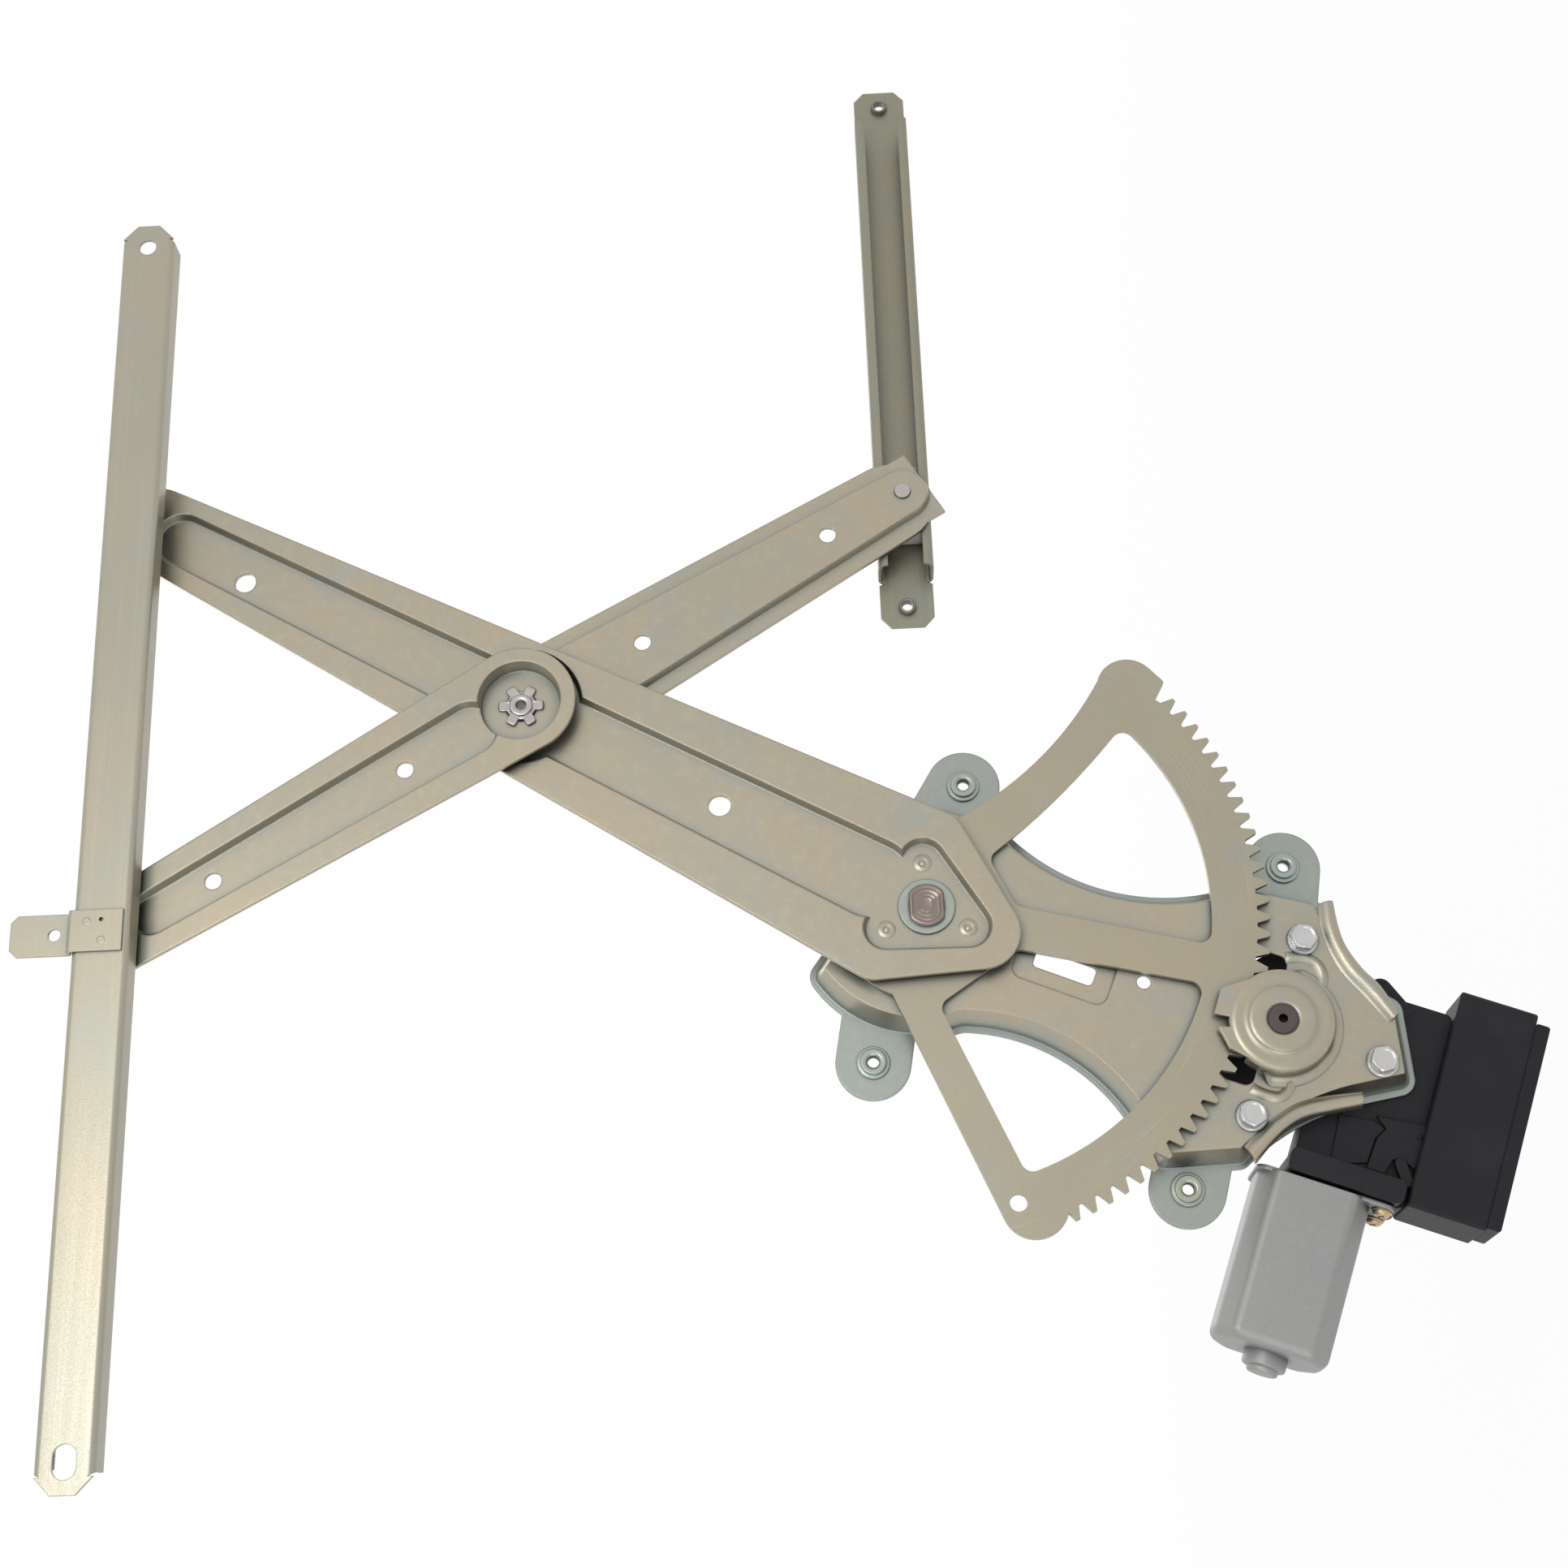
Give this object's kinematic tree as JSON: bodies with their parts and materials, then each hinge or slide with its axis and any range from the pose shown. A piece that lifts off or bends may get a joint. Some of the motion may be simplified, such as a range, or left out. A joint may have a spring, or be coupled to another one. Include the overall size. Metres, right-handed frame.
{
  "type": "window regulator",
  "caption": "Crossed-arm car window regulator: pressed zinc-plated arms, a toothed sector, sliding shoes in two rails and an electric worm drive with a control module.",
  "frame": {"origin": "the main pivot's axis at the sector plate's back face", "axes": "+Z the way the glass rises, +X along the two rails, -Y towards the side that the picture shows"},
  "size_m": [0.657, 0.0853, 0.6386],
  "materials": {
    "pressed_zinc": "yellow zinc plated pressed steel, satin",
    "plate_zinc": "yellow zinc plated blanked plate, satin",
    "rivet_steel": "bare staked steel",
    "shoe_plastic": "grey white moulded plastic",
    "rail_steel": "zinc plated rolled steel, satin",
    "channel_steel": "olive zinc plated rolled steel, drawn streaks",
    "pin_steel": "bare turned steel, slightly brown",
    "shaft_steel": "dark oiled steel",
    "black_plastic": "fine textured black",
    "can_metal": "satin deep drawn steel",
    "gold_screw": "gold passivated",
    "nut_zinc": "blue zinc plated",
    "bolt_zinc": "bright zinc plated"
  },
  "bodies": {
    "base": {"base_plate": "pressed_zinc", "main_pivot_pin": "pin_steel", "pivot_washer": "pin_steel", "gear_housing": "black_plastic", "motor_can": "can_metal", "motor_bearing_boss": "can_metal", "can_screw_1": "gold_screw", "can_screw_2": "gold_screw", "module_case": "black_plastic", "module_cover": "black_plastic", "connector_socket": "black_plastic", "guide_channel_web": "channel_steel", "guide_boss_1": "channel_steel", "guide_boss_2": "channel_steel", "guide_channel_upper_wall": "channel_steel", "guide_channel_upper_lip": "channel_steel", "guide_channel_lower_wall": "channel_steel", "guide_channel_lower_lip": "channel_steel", "weld_nut_1": "nut_zinc", "weld_nut_2": "nut_zinc", "weld_nut_3": "nut_zinc", "weld_nut_4": "nut_zinc", "flange_bolt_1": "bolt_zinc", "flange_bolt_2": "bolt_zinc", "flange_bolt_3": "bolt_zinc"},
    "lift": {"lift_arm": "pressed_zinc", "sector_gear": "plate_zinc", "lift_stud": "rivet_steel"},
    "equalizer": {"equalizer_front_half": "pressed_zinc", "equalizer_rear_half": "pressed_zinc", "centre_rivet": "rivet_steel", "glass_stud": "rivet_steel", "guide_stud": "rivet_steel"},
    "lift_slider": {"lift_shoe": "shoe_plastic"},
    "glass_slider": {"glass_shoe": "shoe_plastic"},
    "guide_slider": {"guide_shoe": "shoe_plastic"},
    "rail": {"glass_rail_web": "rail_steel", "rail_bracket": "rail_steel", "rail_bracket_seat": "rail_steel", "glass_rail_upper_wall": "rail_steel", "glass_rail_upper_lip": "rail_steel", "glass_rail_lower_wall": "rail_steel", "glass_rail_lower_lip": "rail_steel"},
    "pinion": {"drive_pinion": "shaft_steel"}
  },
  "joints": [
    {"name": "lift_swing", "type": "hinge", "parent": "base", "child": "lift", "pos_m": [0, 0, 0], "axis": [0, -1, 0], "range_deg": [-50, 4]},
    {"name": "equalizer_turn", "type": "hinge", "parent": "lift", "child": "equalizer", "pos_m": [0.099, 0, 0.17147], "axis": [0, -1, 0], "range_deg": [-8, 100]},
    {"name": "lift_shoe_turn", "type": "hinge", "parent": "lift", "child": "lift_slider", "pos_m": [0.198, 0, 0.34295], "axis": [0, -1, 0], "range_deg": [-4, 50]},
    {"name": "glass_shoe_turn", "type": "hinge", "parent": "equalizer", "child": "glass_slider", "pos_m": [0, 0, 0.34295], "axis": [0, -1, 0], "range_deg": [-50, 4]},
    {"name": "guide_shoe_turn", "type": "hinge", "parent": "equalizer", "child": "guide_slider", "pos_m": [0.198, 0, 0], "axis": [0, -1, 0], "range_deg": [-50, 4]},
    {"name": "rail_slide", "type": "slide", "parent": "lift_slider", "child": "rail", "axis": [1, 0, 0], "range_m": [-0.12, 0.015]},
    {"name": "pinion_spin", "type": "hinge", "parent": "base", "child": "pinion", "pos_m": [-0.05607, 0, -0.14308], "axis": [0, -1, 0], "range_deg": [-52.45, 655.57]}
  ],
  "couplings": [
    {"joint": "equalizer_turn", "follows": "lift_swing", "ratio": -2},
    {"joint": "lift_shoe_turn", "follows": "lift_swing", "ratio": -1},
    {"joint": "glass_shoe_turn", "follows": "lift_swing", "ratio": 1},
    {"joint": "guide_shoe_turn", "follows": "lift_swing", "ratio": 1},
    {"joint": "pinion_spin", "follows": "lift_swing", "ratio": -13.111}
  ]
}
